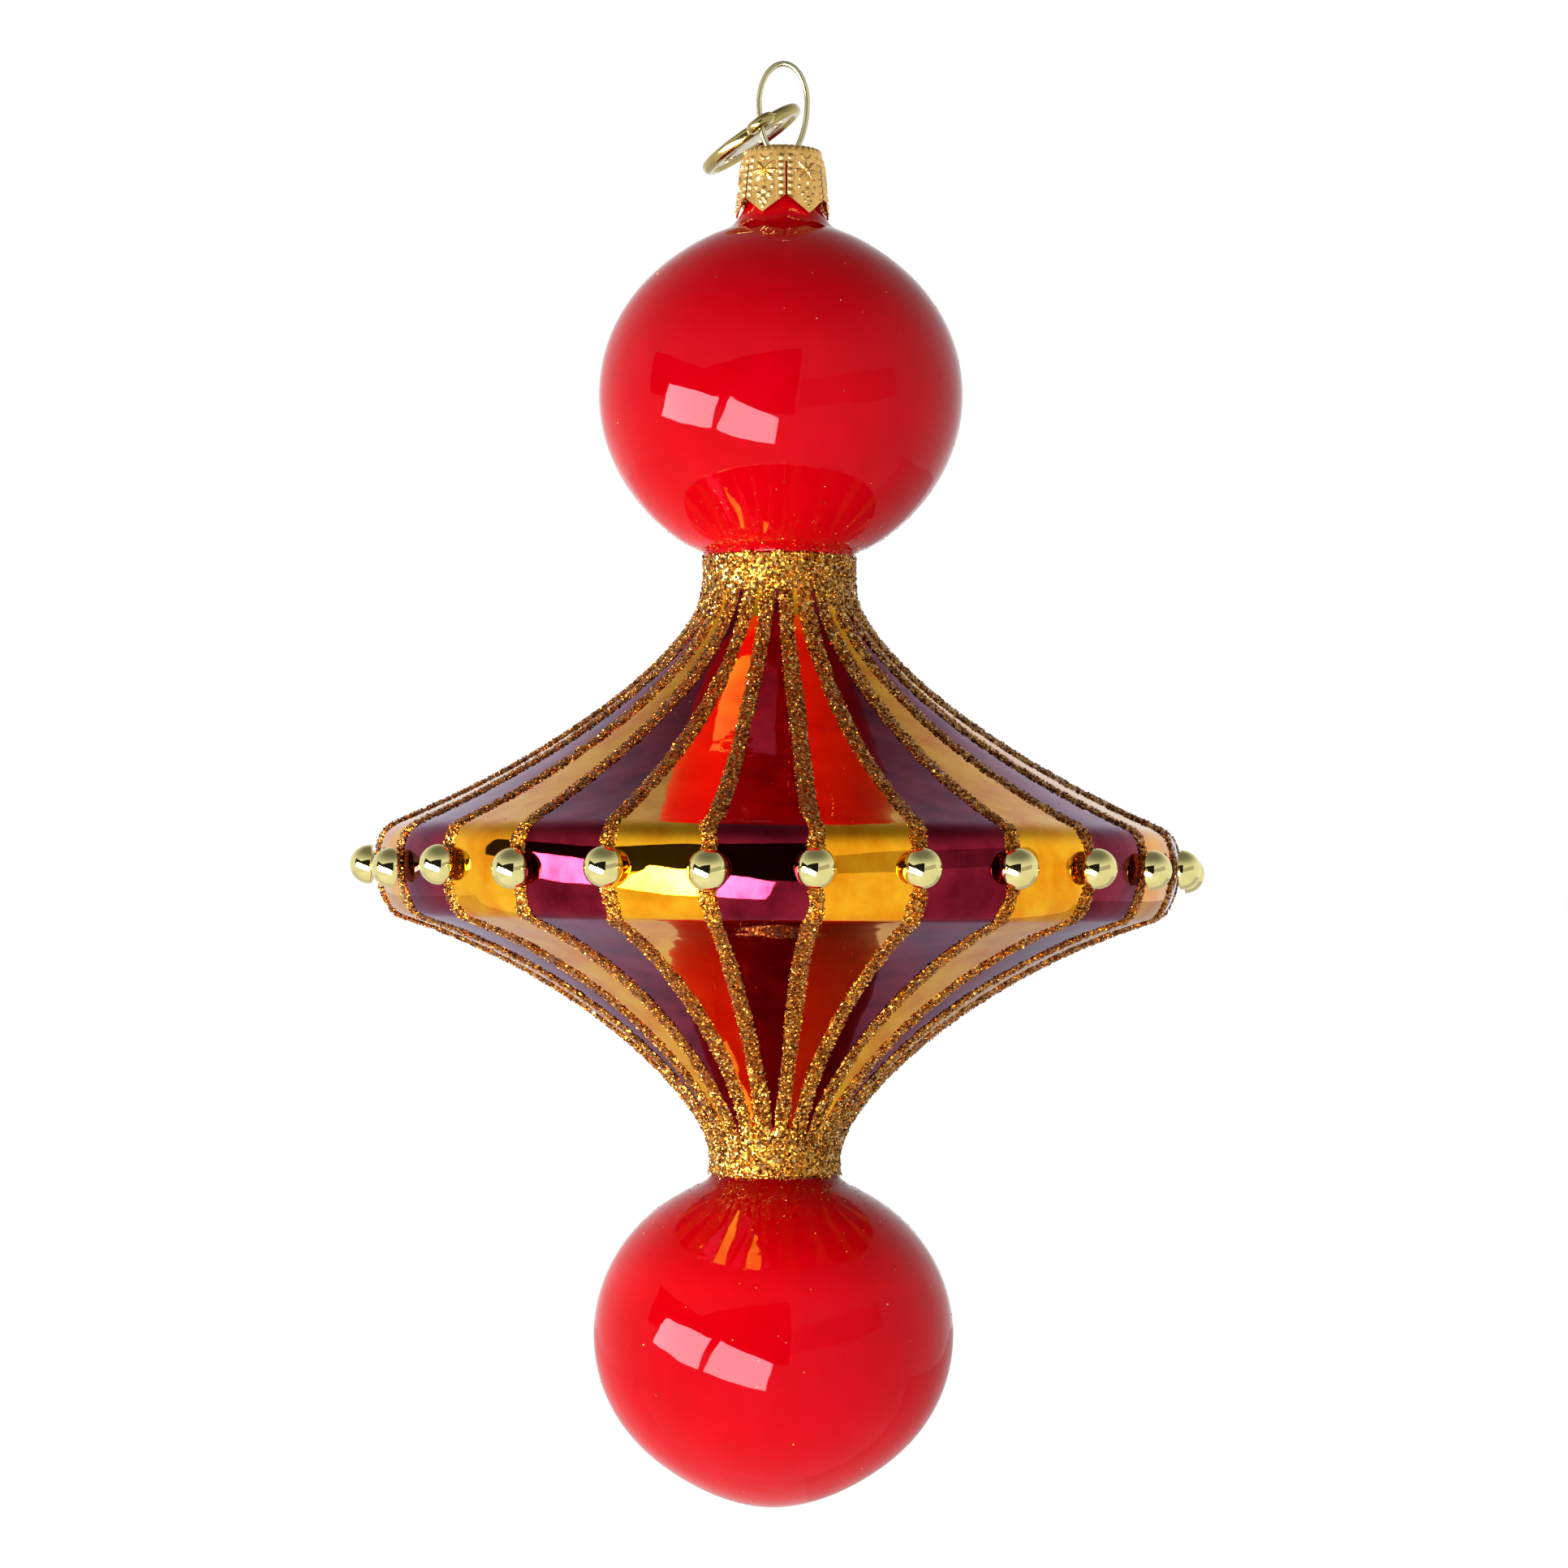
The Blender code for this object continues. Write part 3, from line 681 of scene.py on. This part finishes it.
def makeBeads():
    material = brightMetal(
        "paleGoldBead", (0.79, 0.71, 0.30, 1.0), (0.67, 0.58, 0.20, 1.0), (0.03, 0.08), 0.1)
    bpy.ops.mesh.primitive_uv_sphere_add(
        segments=bead["segments"], ring_count=bead["rings"], radius=bead["radius"])
    first = named("bead_master", material)
    bpy.ops.object.mode_set(mode="EDIT")
    bpy.ops.mesh.select_all(action="SELECT")
    bpy.ops.mesh.bisect(
        plane_co=(0.0, 0.0, 0.0), plane_no=(0.0, 0.0, 1.0), use_fill=True, clear_inner=True)
    bpy.ops.object.mode_set(mode="OBJECT")
    mend(first)
    back = first.modifiers.new("backEdge", "BEVEL")
    back.width = bead["backEdge"]
    back.segments = 3
    back.limit_method = "ANGLE"
    back.angle_limit = math.radians(60.0)
    applyModifiers(first)
    soften(first, 50.0)
    stretch = Matrix.Diagonal((1.0, 1.0, bead["height"] / bead["radius"], 1.0))
    for name in beadNames:
        low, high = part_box(name)
        middle = 0.5 * (low + high)
        turn = math.atan2(middle.y, middle.x)
        outward = Matrix.Rotation(turn, 4, "Z")
        # the flat back stands where the CAD bead's does
        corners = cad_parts[name].data.vertices
        nearest = min(v.co.x * math.cos(turn) + v.co.y * math.sin(turn) for v in corners)
        seat = Matrix.Translation((nearest * math.cos(turn), nearest * math.sin(turn), middle.z))
        copy = first.copy()
        copy.data = first.data.copy()
        copy.name = copy.data.name = "half_round_" + name
        bpy.context.scene.collection.objects.link(copy)
        copy.data.transform(seat @ outward @ Matrix.Rotation(math.pi / 2.0, 4, "Y") @ stretch)
        finishPiece(copy, "glass", [name])
    bpy.data.objects.remove(first, do_unlink=True)
    print("beads:", len(beadNames))


cap = {
    "sheet": 0.00025,
    "skirt": 0.00855,
    "flare": 0.00080,
    "shoulder": 0.0011,
    "petals": 6,
    "firstSlit": math.radians(5.0),
    "slitWidth": 0.00025,
    "slitTop": 0.0022,
    "notch": 0.0021,
    "topRadius": glass["neck"] + 0.0006,
    "columns": 56,
    "rows": 116,
    "topShare": 0.10,
    "bendShare": 0.20,
    "relief": 0.00023,
    "rimBead": 0.00010,
    "rimBeads": 36.0,
    "rimMiddle": 0.75,
    "rimWidth": 0.45,
    "holeClearance": 0.00042,
}
# one petal's stamped pattern, in millimetres from its middle and below the cap's top
stamp = {
    "start": 0.9,
    "grainStart": 1.2,
    "grain": 0.04,
    "pearlStart": 1.3,
    "pearlInset": 0.56,
    "pearlWidth": 0.46,
    "pearlPitch": 0.86,
    "seamStart": 1.5,
    "seamInset": 1.12,
    "seamWidth": 0.10,
    "starHeight": 3.35,
    "starReach": 1.6,
    "starEye": 0.10,
    "leaves": 8,
    "leafWidths": (0.05, 0.24),
    "dots": (
        (0.0, 5.75, 0.42), (-0.72, 6.25, 0.30), (0.74, 6.30, 0.30), (0.0, 6.75, 0.30),
        (-0.38, 7.15, 0.22), (0.38, 7.20, 0.22), (0.0, 7.75, 0.24),
        (-1.15, 5.35, 0.24), (1.15, 5.35, 0.24),
    ),
    "arcCentre": 1.1,
    "arcRadius": 0.75,
    "arcWidth": 0.16,
    "arcSpan": (1.25, 2.1),
}


def smoothHump(distance, width):
    return np.clip(1.0 - (distance / width) ** 2, 0.0, 1.0)


def capRelief(x, z, halfWidth):
    edge = halfWidth - np.abs(x)
    pearls = 0.25 + 0.75 * np.cos(math.pi * z / stamp["pearlPitch"]) ** 2
    pearls = smoothHump(edge - stamp["pearlInset"], stamp["pearlWidth"]) * pearls * (z > stamp["pearlStart"])
    seam = 0.45 * smoothHump(edge - stamp["seamInset"], stamp["seamWidth"]) * (z > stamp["seamStart"])
    # a star of leaves that are widest two thirds of the way out
    below = z - stamp["starHeight"]
    reach = np.hypot(x, below)
    leafTurn = math.tau / stamp["leaves"]
    aside = np.abs((np.arctan2(below, x) / leafTurn + 0.5) % 1.0 - 0.5) * leafTurn * reach
    narrow, swell = stamp["leafWidths"]
    width = narrow + swell * np.clip(reach / 1.1, 0.0, 1.0) * np.clip((1.65 - reach) / 0.5, 0.0, 1.0)
    star = smoothHump(aside, width) * (reach < stamp["starReach"]) * (reach > stamp["starEye"])
    dots = np.zeros_like(x)
    for across, down, size in stamp["dots"]:
        dots = np.maximum(dots, smoothHump(np.hypot(x - across, z - down), size))
    ring = np.abs(np.hypot(x, z - stamp["arcCentre"]) - stamp["arcRadius"])
    arcStart, arcEnd = stamp["arcSpan"]
    arc = 0.6 * smoothHump(ring, stamp["arcWidth"]) * (z > arcStart) * (z < arcEnd)
    grain = stamp["grain"] * np.sin(9.0 * x + 3.0 * z) * np.sin(7.0 * z - 4.0 * x)
    pattern = np.maximum.reduce([pearls, seam, star, dots, arc])
    return (pattern + grain * (z > stamp["grainStart"])) * np.clip((z - stamp["start"]) / 0.5, 0.0, 1.0)


def makeCapPetal(material):
    # one sixth of the cap, from the middle of its top to the tip of one petal
    bpy.ops.mesh.primitive_grid_add(x_subdivisions=cap["columns"], y_subdivisions=cap["rows"], size=2.0)
    thing = named("petal", material)
    corners = np.array([v.co for v in thing.data.vertices])
    across, down = corners[:, 0], 0.5 - 0.5 * corners[:, 1]
    top, bend = cap["topRadius"], cap["topRadius"] - cap["shoulder"]
    halfTurn = math.pi / cap["petals"]
    topShare, bendShare = cap["topShare"], cap["bendShare"]
    flat = np.clip(down / topShare, 0.0, 1.0)
    bent = np.clip((down - topShare) / (bendShare - topShare), 0.0, 1.0) * (math.pi / 2.0)
    fall = np.clip((down - bendShare) / (1.0 - bendShare), 0.0, 1.0)
    length = cap["skirt"] - cap["shoulder"] - cap["notch"] * np.abs(across) * (fall > 0.0)
    depth = fall * length
    share = depth / (cap["skirt"] - cap["shoulder"])
    radius = bend * flat + cap["shoulder"] * np.sin(bent) + cap["flare"] * share
    height = -cap["shoulder"] * (1.0 - np.cos(bent)) - depth
    # below the slit's top each petal is narrower by half a slit on either side
    slit = 0.5 * cap["slitWidth"] / np.maximum(radius, top) * (-height > cap["slitTop"])
    turn = across * (halfTurn - slit)
    relief = capRelief(turn * radius / millimetre, -height / millimetre, halfTurn * radius / millimetre)
    radius = radius + cap["relief"] * relief
    # beaded rim round the top
    rim = smoothHump(bent - cap["rimMiddle"], cap["rimWidth"])
    rim = rim * (0.5 + 0.5 * np.cos(turn * cap["rimBeads"]))
    rim = cap["rimBead"] * rim * (flat >= 1.0) * (bent > 0.0)
    radius = radius + rim
    height = height + rim
    points = np.stack([radius * np.sin(turn), -radius * np.cos(turn), height], axis=1)
    thing.data.vertices.foreach_set("co", points.ravel())
    thing.data.update()
    return thing


def makeCap():
    material = brightMetal(
        "stampedCapGold", (0.76, 0.46, 0.14, 1.0), (0.54, 0.28, 0.06, 1.0), (0.19, 0.31), 0.15)
    petal = makeCapPetal(material)
    sectors = []
    for number in range(cap["petals"]):
        copy = petal.copy()
        copy.data = petal.data.copy()
        bpy.context.scene.collection.objects.link(copy)
        middle = cap["firstSlit"] + (number + 0.5) * math.tau / cap["petals"]
        copy.data.transform(Matrix.Translation((0.0, 0.0, capTop)) @ Matrix.Rotation(middle, 4, "Z"))
        sectors.append(copy)
    bpy.data.objects.remove(petal, do_unlink=True)
    thing = join(sectors, "stamped_cap")
    mend(thing)
    sheet = thing.modifiers.new("sheet", "SOLIDIFY")
    sheet.thickness = cap["sheet"]
    sheet.offset = -1.0
    applyModifiers(thing)
    for side in (-1.0, 1.0):
        at = side * loopPoint(capTop - 0.5 * cap["sheet"]).x
        bpy.ops.mesh.primitive_cylinder_add(
            vertices=32, radius=wire["radius"] + cap["holeClearance"], depth=0.002,
            location=(at, 0.0, capTop))
        cutter = named("cutter")
        hole = thing.modifiers.new("hole", "BOOLEAN")
        hole.object = cutter
        applyModifiers(thing)
        bpy.data.objects.remove(cutter, do_unlink=True)
    soften(thing, 55.0)
    print("cap:", len(thing.data.polygons), "faces")
    return finishPiece(thing, "cap", ["cap"])


wire = {
    "radius": 0.00035,
    "halfWidth": 0.0030,
    "crown": 0.0049,
    "drop": 0.0069,
    "barrel": 0.0070,
    "legLength": 0.0140,
    "knee": glass["neck"] - glass["wall"] - 0.0003 - 0.00035 - 0.00005,  # clear of the neck's inside
    "toe": 0.75,
    "toeSlope": 0.35,
    "pull": 0.35,
    "crownSteps": 24,
    "flankSteps": 20,
    "legSteps": (16, 12),
}
loopTop = hangerTop - wire["radius"]
loopWidest = loopTop - wire["crown"]


def loopPoint(height):
    # right-hand side of the loop below its widest place, as an ellipse
    fall = (loopWidest - height) / wire["drop"]
    return Vector((wire["halfWidth"] * math.sqrt(1.0 - fall * fall), 0.0, height))


def loopHeading(height):
    fall = (loopWidest - height) / wire["drop"]
    level = math.sqrt(1.0 - fall * fall)
    return Vector((-wire["halfWidth"] * fall, 0.0, -wire["drop"] * level)).normalized()


def cubic(start, leave, arrive, end, count):
    return [
        (1 - t) ** 3 * start + 3 * (1 - t) ** 2 * t * leave + 3 * (1 - t) * t * t * arrive + t ** 3 * end
        for t in (step / count for step in range(count))
    ]


def makeHanger():
    material = brightMetal(
        "paleGoldWire", (0.60, 0.55, 0.31, 1.0), (0.50, 0.45, 0.22, 1.0), (0.14, 0.26), 0.05)
    side = []
    crownSteps, flankSteps = wire["crownSteps"], wire["flankSteps"]
    for step in range(crownSteps):
        angle = math.radians(90.0 - step * 90.0 / crownSteps)
        side.append(Vector((
            wire["halfWidth"] * math.cos(angle), 0.0, loopWidest + wire["crown"] * math.sin(angle))))
    flank = capTop - loopWidest
    side += [loopPoint(loopWidest + flank * step / flankSteps) for step in range(flankSteps)]
    start, knee = loopPoint(capTop), Vector((wire["knee"], 0.0, capTop - wire["barrel"]))
    foot = Vector((wire["toe"] * wire["knee"], 0.0, capTop - wire["legLength"]))
    pull = wire["pull"] * wire["barrel"]
    down, inward = Vector((0.0, 0.0, -1.0)), Vector((-wire["toeSlope"], 0.0, -1.0)).normalized()
    upperSteps, lowerSteps = wire["legSteps"]
    side += cubic(start, start + loopHeading(capTop) * pull, knee - down * pull, knee, upperSteps)
    side += cubic(knee, knee + down * pull, foot - inward * pull, foot, lowerSteps) + [foot]
    points = [Vector((-p.x, 0.0, p.z)) for p in side[:0:-1]] + side
    bpy.ops.curve.primitive_nurbs_path_add(location=(0.0, 0.0, 0.0))
    curve = bpy.context.object
    curve.data.splines.clear()
    spline = curve.data.splines.new("POLY")
    spline.points.add(len(points) - 1)
    for knot, point in zip(spline.points, points):
        knot.co = (*point, 1.0)
    curve.data.bevel_depth = wire["radius"]
    curve.data.bevel_resolution = 4
    curve.data.use_fill_caps = True
    bpy.ops.object.convert(target="MESH")
    thing = named("sprung_wire_hanger", material)
    mend(thing)
    soften(thing, 45.0)
    print("hanger:", len(thing.data.polygons), "faces")
    return finishPiece(thing, "hanger", ["hanger"])


tag = {
    "radius": 0.00725,
    "thickness": 0.0015,
    "rim": 0.00035,
    "recess": 0.0003,
    "grooveInset": 0.0006,
    "groove": 0.00012,
    "grooveDepth": 0.00010,
    "lugRadius": 0.00132,
    "lugBar": 0.00068,
    "lugReach": 0.00115,
    "height": 0.0034,
    "edge": 0.0006,
    "roll": math.radians(34.0),
    "pitch": math.radians(2.5),
    "yaw": math.radians(8.0),
    "lip": 0.0002,
    "ringSpacing": 0.0021,
    "dashes": 40,
    "dashRadius": 0.00395,
    "dashLengths": (0.0006, 0.0010),
    "dashWidth": 0.00022,
    "dashHeight": 0.00016,
}


def stampFace(thing, side):
    # raised rim, sunk floor and two engraved rings on one face
    level = 0.5 * tag["thickness"] * side
    pick(thing, lambda face: face.normal.z * side > 0.9 and abs(face.center.z - level) < 1e-6)

    def sink(depth):
        bpy.ops.transform.translate(value=(0.0, 0.0, -side * depth))

    def engrave(inset):
        bpy.ops.mesh.inset(thickness=inset)
        bpy.ops.mesh.inset(thickness=tag["groove"])
        sink(tag["grooveDepth"])
        bpy.ops.mesh.inset(thickness=tag["groove"])
        sink(-tag["grooveDepth"])

    bpy.ops.mesh.inset(thickness=tag["rim"])
    bpy.ops.mesh.inset(thickness=tag["lip"])
    sink(tag["recess"])
    engrave(tag["grooveInset"])
    engrave(tag["ringSpacing"])
    bpy.ops.object.mode_set(mode="OBJECT")


def makeTag():
    material = brightMetal(
        "paleGoldTag", (0.46, 0.36, 0.12, 1.0), (0.31, 0.23, 0.07, 1.0), (0.10, 0.22), 0.1)
    bpy.ops.mesh.primitive_cylinder_add(
        vertices=120, radius=tag["radius"], depth=tag["thickness"], location=(0.0, 0.0, 0.0))
    disc = named("disc", material)
    edges = disc.modifiers.new("edges", "BEVEL")
    edges.width = tag["edge"]
    edges.segments = 6
    edges.limit_method = "ANGLE"
    edges.angle_limit = math.radians(50.0)
    applyModifiers(disc)
    stampFace(disc, 1.0)
    stampFace(disc, -1.0)
    parts = [disc]
    # a plain ring of small bars between the two engraved circles, on both faces
    for side in (1.0, -1.0):
        level = side * (0.5 * tag["thickness"] - tag["recess"])
        for number in range(tag["dashes"]):
            turn = number * math.tau / tag["dashes"]
            bpy.ops.mesh.primitive_cube_add(size=1.0, location=(0.0, 0.0, 0.0))
            bar = named("bar", material)
            size = Matrix.Diagonal((
                tag["dashLengths"][number % 2], tag["dashWidth"], tag["dashHeight"], 1.0))
            place = Matrix.Translation((tag["dashRadius"], 0.0, level))
            bar.data.transform(Matrix.Rotation(turn, 4, "Z") @ place @ size)
            parts.append(bar)
    reach = tag["radius"] + tag["lugReach"]
    bpy.ops.mesh.primitive_torus_add(
        major_segments=48, minor_segments=24, major_radius=tag["lugRadius"], minor_radius=tag["lugBar"],
        location=(0.0, -reach, 0.0))
    lug = named("lug", material)
    applyPlace(lug)
    parts.append(lug)
    thing = join(parts, "round_tag")
    pivot = loopPoint(capTop + tag["height"])
    turn = Matrix.Rotation(-tag["roll"], 4, "Y") @ Matrix.Rotation(tag["pitch"], 4, "X")
    turn = turn @ Matrix.Rotation(tag["yaw"], 4, "Z")
    place = Matrix.Translation((-pivot.x, 0.0, pivot.z)) @ turn @ Matrix.Translation((0.0, reach, 0.0))
    thing.data.transform(place)
    soften(thing, 35.0)
    print("tag:", len(thing.data.polygons), "faces")
    return finishPiece(thing, "tag", ["tag"])


studio = {
    "cameraDistance": 0.456,
    "lens": 84.0,
    "shift": (0.0044, 0.0540),
    "roll": math.radians(0.45),
    "floorDrop": 0.25,
    "paneLight": 42.0,
    "keyPower": 0.90,
    "zenith": 0.2,
    "horizon": 1.0,
    "fade": (0.24, 1.0),
    "floorGlow": 0.55,
    "floorSize": 60.0,
    "dimLight": 0.03,
    "keyPlace": (-0.33, -0.37, -0.10),
    "keySize": (0.70, 0.20),
}
# corners of the two lamp panes, from the middle of the bead ring
panes = [
    [(-0.646, -0.201, 0.098), (-0.292, -0.368, -0.016), (-0.384, -0.338, -0.204), (-0.690, -0.103, -0.099)],
    [(-0.268, -0.425, -0.022), (-0.001, -0.462, -0.157), (-0.029, -0.400, -0.302), (-0.341, -0.343, -0.212)],
]
# a dim room above and behind the lamp, as two leaves that meet behind its middle
darkLeaves = [
    [(-0.75, -0.025, 0.34), (-0.575, -0.513, 0.194), (-0.55, -0.575, -0.112), (-0.875, -0.038, 0.063)],
    [(-0.575, -0.513, 0.194), (0.15, -0.712, 0.375), (0.125, -0.70, -0.238), (-0.55, -0.575, -0.112)],
]
# greyer places in the room, each with its light: beside the dim leaves, and on the ground behind
greyPatches = [
    (0.55, [(0.125, -0.587, 0.07), (0.58, -0.155, 0.20), (0.58, -0.155, 0.03), (0.125, -0.587, -0.12)]),
    (0.62, [(0.02, 2.20, -0.31), (1.10, 2.20, -0.31), (0.70, 0.12, -0.31), (0.05, 0.10, -0.31)]),
    (0.80, [(-1.10, 2.20, -0.31), (0.02, 2.20, -0.31), (0.05, 0.10, -0.31), (-0.70, 0.12, -0.31)]),
]
# black flags over the ornament and to its right, which only shade it
flags = [
    [(-0.30, 0.40, 0.30), (0.45, 0.40, 0.30), (0.45, -0.40, 0.30), (-0.30, -0.40, 0.30)],
    [(0.25, -0.10, 0.25), (0.25, 0.26, 0.25), (0.25, 0.26, -0.25), (0.25, -0.10, -0.25)],
]


def glowing(name, colour, strength):
    return Finish(
        name, Base_Color=(0.0, 0.0, 0.0, 1.0), Specular_IOR_Level=0.0,
        Emission_Color=colour, Emission_Strength=strength).material


def card(name, corners, material, shades=False):
    # a flat four-cornered screen, seen only in reflections, or one that only shades
    bpy.ops.mesh.primitive_plane_add(size=1.0, location=(0.0, 0.0, 0.0))
    thing = named(name, material)
    centre = Vector((0.0, 0.0, ringHeight))
    for vertex, corner in zip(thing.data.vertices, (corners[k] for k in (3, 2, 0, 1))):
        vertex.co = centre + Vector(corner)
    thing.visible_camera = False
    thing.visible_diffuse = thing.visible_shadow = shades
    thing.visible_glossy = not shades


def softLamp(name, place, size, power):
    data = bpy.data.lights.new(name, "AREA")
    data.shape = "RECTANGLE"
    data.size, data.size_y = size
    data.energy = power
    lamp = bpy.data.objects.new(name, data)
    bpy.context.scene.collection.objects.link(lamp)
    lamp.location = Vector(place) + Vector((0.0, 0.0, ringHeight))
    lamp.rotation_euler = (-Vector(place)).to_track_quat("-Z", "Y").to_euler()
    lamp.visible_camera = lamp.visible_glossy = False


def makeWorld():
    # bright all round, and dimmer overhead
    world = bpy.data.worlds.new("paleStudio")
    bpy.context.scene.world = world
    world.use_nodes = True
    nodes, links = world.node_tree.nodes, world.node_tree.links
    direction = nodes.new("ShaderNodeTexCoord")
    parts = nodes.new("ShaderNodeSeparateXYZ")
    fade = nodes.new("ShaderNodeMapRange")
    fade.interpolation_type = "SMOOTHSTEP"
    for socket, value in zip(fade.inputs[1:5], (*studio["fade"], studio["horizon"], studio["zenith"])):
        socket.default_value = value
    links.new(direction.outputs["Generated"], parts.inputs[0])
    links.new(parts.outputs["Z"], fade.inputs[0])
    links.new(fade.outputs[0], nodes["Background"].inputs["Strength"])
    nodes["Background"].inputs["Color"].default_value = (1.0, 1.0, 1.0, 1.0)


def makeStudio():
    makeWorld()
    floorHeight = cadLow.z - studio["floorDrop"]
    bpy.ops.mesh.primitive_plane_add(size=studio["floorSize"], location=(0.0, 0.0, floorHeight))
    finish = Finish(
        "paleFloor", Base_Color=(0.9, 0.9, 0.9, 1.0), Roughness=0.9, Specular_IOR_Level=0.1,
        Emission_Color=(1.0, 1.0, 1.0, 1.0), Emission_Strength=studio["floorGlow"])
    floor = named("floor", finish.material)
    applyPlace(floor)

    paneMaterial = glowing("lampPane", (1.0, 0.98, 0.97, 1.0), studio["paneLight"])
    for number, corners in enumerate(panes):
        card(f"lamp_pane_{number + 1}", corners, paneMaterial)
    dark = glowing("dimRoom", (0.5, 0.45, 0.5, 1.0), studio["dimLight"])
    for number, corners in enumerate(darkLeaves):
        card(f"dim_room_{number + 1}", corners, dark)
    for number, (strength, corners) in enumerate(greyPatches):
        card(f"grey_room_{number + 1}", corners, glowing("greyRoom", (1.0, 0.97, 0.98, 1.0), strength))
    black = glowing("blackFlag", (0.0, 0.0, 0.0, 1.0), 0.0)
    for number, corners in enumerate(flags):
        card(f"flag_{number + 1}", corners, black, shades=True)
    softLamp("key_lamp", studio["keyPlace"], studio["keySize"], studio["keyPower"])


def makeCamera():
    data = bpy.data.cameras.new("camera")
    data.lens = studio["lens"]
    data.sensor_width = 36.0
    data.shift_x, data.shift_y = studio["shift"]
    camera = bpy.data.objects.new("camera", data)
    bpy.context.scene.collection.objects.link(camera)
    camera.location = (0.0, -studio["cameraDistance"], ringHeight)
    level = Matrix.Rotation(math.pi / 2.0, 3, "X")
    camera.rotation_euler = (level @ Matrix.Rotation(studio["roll"], 3, "Z")).to_euler()
    bpy.context.scene.camera = camera
    bpy.context.scene.view_settings.view_transform = "Standard"


makeCamera()
makeStudio()
print("studio ready")
outlineMesh = drawOutline()
outline = Outline([v.co for v in outlineMesh.data.vertices])
makeGlass(outlineMesh)
bpy.data.objects.remove(outlineMesh, do_unlink=True)
flake = modelFlake()
goldGlitter = glitterMaterial()
for number in range(panelCount):
    makeLine(number, outline, flake, goldGlitter)
print("glitter lines:", panelCount)
makeCollar(
    "upper_glitter_band", "upper_glitter_collar", glitter["upperCollar"],
    outline, flake, goldGlitter, glitter["upperSeed"])
makeCollar(
    "lower_glitter_band", "lower_glitter_collar", glitter["lowerCollar"],
    outline, flake, goldGlitter, glitter["lowerSeed"])
makeStrayFlakes(outline, flake, goldGlitter)
print("glitter collars and stray flakes laid")
makeBeads()
makeCap()
makeHanger()
makeTag()
